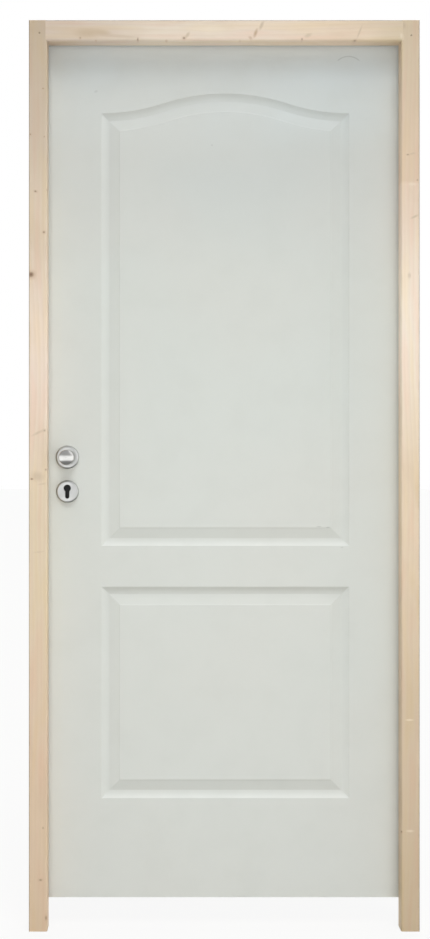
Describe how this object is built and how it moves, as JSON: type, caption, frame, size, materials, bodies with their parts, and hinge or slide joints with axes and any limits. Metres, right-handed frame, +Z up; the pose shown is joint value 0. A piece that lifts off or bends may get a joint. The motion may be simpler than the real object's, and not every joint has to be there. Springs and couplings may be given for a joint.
{
  "type": "prehung interior door",
  "caption": "Moulded white two-panel interior door leaf with a round knob and cylinder lock, hung on lift-off hinges in a rebated softwood frame.",
  "frame": {"origin": "on the hinge post's outer face, which is fixed to the wall, at the foot of the post and halfway through the frame's depth", "axes": "+X out of the hinge post into the wall (to the right, seen from the push side), +Y away from the push side, the way the leaf opens, +Z up"},
  "size_m": [0.9, 0.14, 2.1],
  "materials": {
    "frame_pine": "planed softwood, bare",
    "leaf_skin": "smooth moulded fibreboard with white primer, satin",
    "leaf_core": "sawn softwood",
    "rose_metal": "satin chrome",
    "knob_metal": "polished",
    "lock_steel": "zinc-plated",
    "lock_case_steel": "dark, matt",
    "hinge_steel": "satin"
  },
  "bodies": {
    "frame": {"head": "frame_pine", "hinge_post": "frame_pine", "lock_post": "frame_pine", "strike_plate": "lock_steel", "lower_frame_hinge": "hinge_steel", "middle_frame_hinge": "hinge_steel", "upper_frame_hinge": "hinge_steel"},
    "leaf": {"front_skin": "leaf_skin", "back_skin": "leaf_skin", "lock_stile": "leaf_core", "hinge_stile": "leaf_core", "bottom_rail": "leaf_core", "top_rail": "leaf_core", "lock_block": "leaf_core", "lock_case": "lock_case_steel", "lock_forend": "lock_steel", "latch_bolt": "lock_steel", "dead_bolt": "lock_steel", "front_rose": "rose_metal", "back_rose": "rose_metal", "front_key_rose": "rose_metal", "back_key_rose": "rose_metal", "lower_leaf_hinge": "hinge_steel", "middle_leaf_hinge": "hinge_steel", "upper_leaf_hinge": "hinge_steel"},
    "knob": {"spindle": "lock_steel", "front_knob": "knob_metal", "back_knob": "knob_metal"}
  },
  "joints": [
    {"name": "leaf_swing", "type": "hinge", "parent": "frame", "child": "leaf", "pos_m": [-0.0315, 0.053, 1.06], "axis": [0, 0, -1], "range_deg": [0, 170]},
    {"name": "knob_turn", "type": "hinge", "parent": "leaf", "child": "knob", "pos_m": [-0.8145, 0.025, 1.0925], "axis": [0, 1, 0], "range_deg": [0, 45], "stiffness_Nm_per_rad": 0.6}
  ]
}
